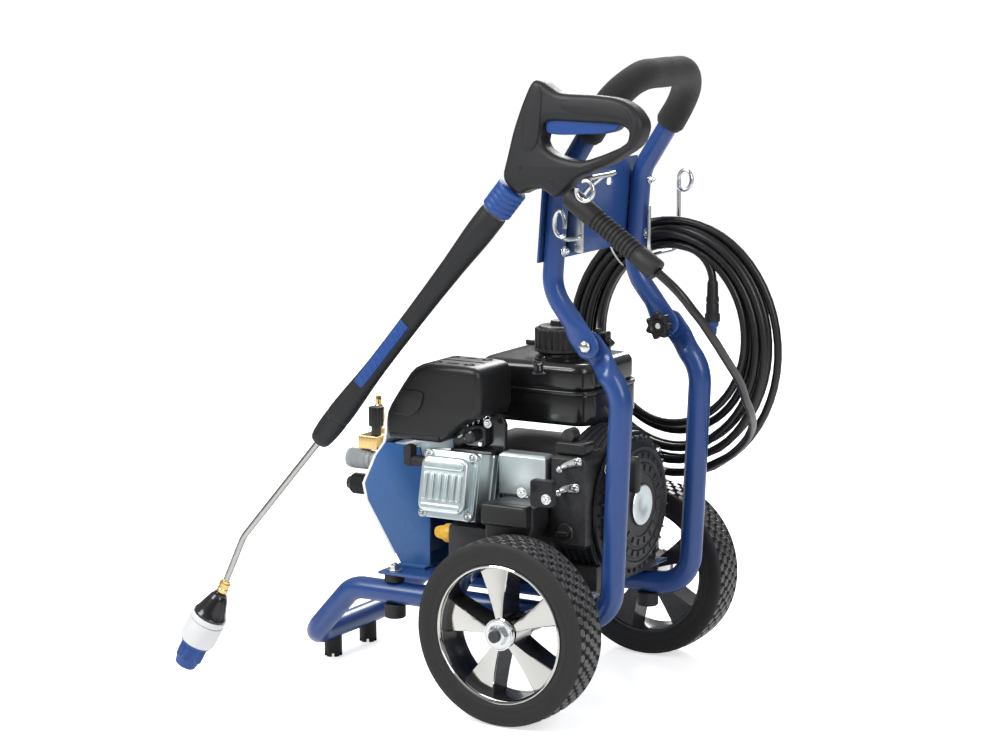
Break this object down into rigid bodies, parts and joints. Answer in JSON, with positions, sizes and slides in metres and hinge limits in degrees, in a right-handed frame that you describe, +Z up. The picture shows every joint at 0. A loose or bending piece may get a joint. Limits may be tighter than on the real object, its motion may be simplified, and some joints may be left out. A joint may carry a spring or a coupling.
{
  "type": "pressure washer",
  "caption": "Petrol pressure washer on a blue tube trolley with two chrome wheels, its spray lance and coiled hose hung on the folding handle.",
  "frame": {"origin": "on the floor under the middle of the machine without its hose", "axes": "+Z up, +X to the side the spray gun hangs on, +Y to the side the user stands on"},
  "size_m": [0.5, 0.8081, 0.8797],
  "materials": {
    "blue_paint": "gloss powder coat",
    "white_paint": "gloss",
    "black_rubber": "matt",
    "tyre_rubber": "matt",
    "grip_foam": "matt foam",
    "chrome": "mirror",
    "galvanised_steel": "bright zinc",
    "cast_aluminium": "satin cast",
    "black_plastic": "satin textured",
    "blue_plastic": "satin",
    "grey_iron": "painted dark grey",
    "brass": "turned",
    "yellow_plastic": "gloss",
    "grey_plastic": "satin"
  },
  "bodies": {
    "chassis": {"lower_frame": "blue_paint", "base_plate": "blue_paint", "foot_left": "black_rubber", "foot_right": "black_rubber", "isolator_front_left": "black_rubber", "isolator_rear_left": "black_rubber", "isolator_front_right": "black_rubber", "isolator_rear_right": "black_rubber", "axle": "galvanised_steel", "pump_guard": "blue_paint", "front_panel": "white_paint", "pump_body": "cast_aluminium", "outlet_coupler": "grey_plastic", "inlet_connector": "black_plastic", "unloader_valve": "brass", "crankcase": "grey_iron", "cylinder_head": "cast_aluminium", "valve_cover": "cast_aluminium", "spark_plug_cap": "black_plastic", "carburettor": "cast_aluminium", "muffler_cover": "black_plastic", "air_filter_cover": "black_plastic", "air_filter_base": "black_plastic", "fuel_tank": "black_plastic", "fan_housing": "black_plastic", "recoil_cover": "black_plastic"},
    "left_wheel": {"tyre_left": "tyre_rubber", "rim_left": "chrome"},
    "right_wheel": {"tyre_right": "tyre_rubber", "rim_right": "chrome"},
    "handle": {"handle_tube": "blue_paint", "foam_grip": "grip_foam", "pivot_bolt_left": "galvanised_steel", "pivot_bolt_right": "galvanised_steel", "hook_plate": "blue_paint", "gun_hooks": "galvanised_steel", "hose_hook": "galvanised_steel", "hose_lead": "black_rubber", "hose_coil": "black_rubber", "hose_connector": "black_plastic"},
    "left_knob": {"star_knob_left": "black_plastic"},
    "right_knob": {"star_knob_right": "black_plastic"},
    "gun": {"gun_body": "black_plastic", "gun_collar": "blue_plastic", "lance_sleeve": "black_plastic", "lance_tube": "galvanised_steel", "nozzle_body": "black_plastic", "bend_protector": "black_plastic"},
    "trigger": {"trigger": "blue_plastic"},
    "nozzle": {"nozzle_cap": "blue_plastic"},
    "crank": {"crankshaft": "galvanised_steel", "flywheel": "grey_iron"},
    "fuel_cap": {"fuel_cap": "black_plastic"},
    "dipstick": {"dipstick": "yellow_plastic"},
    "wing_nut": {"wing_nut": "black_plastic"},
    "starter_grip": {"starter_grip": "black_plastic"},
    "throttle": {"throttle_lever": "galvanised_steel"},
    "choke": {"choke_lever": "galvanised_steel"},
    "pressure_knob": {"pressure_knob": "black_plastic"},
    "engine_switch": {"engine_switch": "black_plastic"}
  },
  "joints": [
    {"name": "left_wheel_spin", "type": "hinge", "parent": "chassis", "child": "left_wheel", "pos_m": [0.2081, 0.1638, 0.127], "axis": [1, 0, 0], "continuous": true},
    {"name": "right_wheel_spin", "type": "hinge", "parent": "chassis", "child": "right_wheel", "pos_m": [-0.2081, 0.1638, 0.127], "axis": [1, 0, 0], "continuous": true},
    {"name": "handle_fold", "type": "hinge", "parent": "chassis", "child": "handle", "pos_m": [0, 0.2358, 0.504], "axis": [-1, 0, 0], "range_deg": [0, 15]},
    {"name": "left_knob_turn", "type": "hinge", "parent": "handle", "child": "left_knob", "pos_m": [0.086, 0.2358, 0.504], "axis": [1, 0, 0], "range_deg": [0, 360]},
    {"name": "right_knob_turn", "type": "hinge", "parent": "handle", "child": "right_knob", "pos_m": [-0.086, 0.2358, 0.504], "axis": [-1, 0, 0], "range_deg": [0, 360]},
    {"name": "gun_unhook", "type": "slide", "parent": "handle", "child": "gun", "axis": [0, -1, 0], "range_m": [0, 0.09]},
    {"name": "trigger_pull", "type": "hinge", "parent": "gun", "child": "trigger", "pos_m": [0.16917, 0.2098, 0.79715], "axis": [0.9974, 0, 0.0718], "range_deg": [0, 6], "stiffness_Nm_per_rad": 0.5},
    {"name": "nozzle_turn", "type": "hinge", "parent": "gun", "child": "nozzle", "pos_m": [0.21764, -0.3022, 0.12389], "axis": [0.0629, -0.4825, -0.8737], "continuous": true},
    {"name": "crank_spin", "type": "hinge", "parent": "chassis", "child": "crank", "pos_m": [0, 0.1638, 0.27], "axis": [0, 1, 0], "continuous": true},
    {"name": "starter_pull", "type": "slide", "parent": "chassis", "child": "starter_grip", "axis": [0, 1, 0], "range_m": [0, 0.6], "stiffness_N_per_m": 20},
    {"name": "throttle_move", "type": "hinge", "parent": "chassis", "child": "throttle", "pos_m": [0.13, 0.2258, 0.348], "axis": [1, 0, 0], "range_deg": [0, 25]},
    {"name": "choke_move", "type": "hinge", "parent": "chassis", "child": "choke", "pos_m": [0.13, 0.2218, 0.312], "axis": [1, 0, 0], "range_deg": [0, 25]},
    {"name": "engine_switch_turn", "type": "hinge", "parent": "chassis", "child": "engine_switch", "pos_m": [0.136, 0.2078, 0.25], "axis": [1, 0, 0], "range_deg": [0, 60]},
    {"name": "fuel_cap_turn", "type": "hinge", "parent": "chassis", "child": "fuel_cap", "pos_m": [-0.015, 0.1178, 0.49], "axis": [0, 0, 1], "range_deg": [0, 90]},
    {"name": "dipstick_turn", "type": "hinge", "parent": "chassis", "child": "dipstick", "pos_m": [0.106, 0.0158, 0.222], "axis": [0, -1, 0], "range_deg": [0, 360]},
    {"name": "wing_nut_turn", "type": "hinge", "parent": "chassis", "child": "wing_nut", "pos_m": [0.147, 0.1758, 0.476], "axis": [0, 0, 1], "range_deg": [0, 360]},
    {"name": "pressure_knob_turn", "type": "hinge", "parent": "chassis", "child": "pressure_knob", "pos_m": [0.06, -0.1402, 0.36], "axis": [0, 0, 1], "range_deg": [0, 270]}
  ]
}
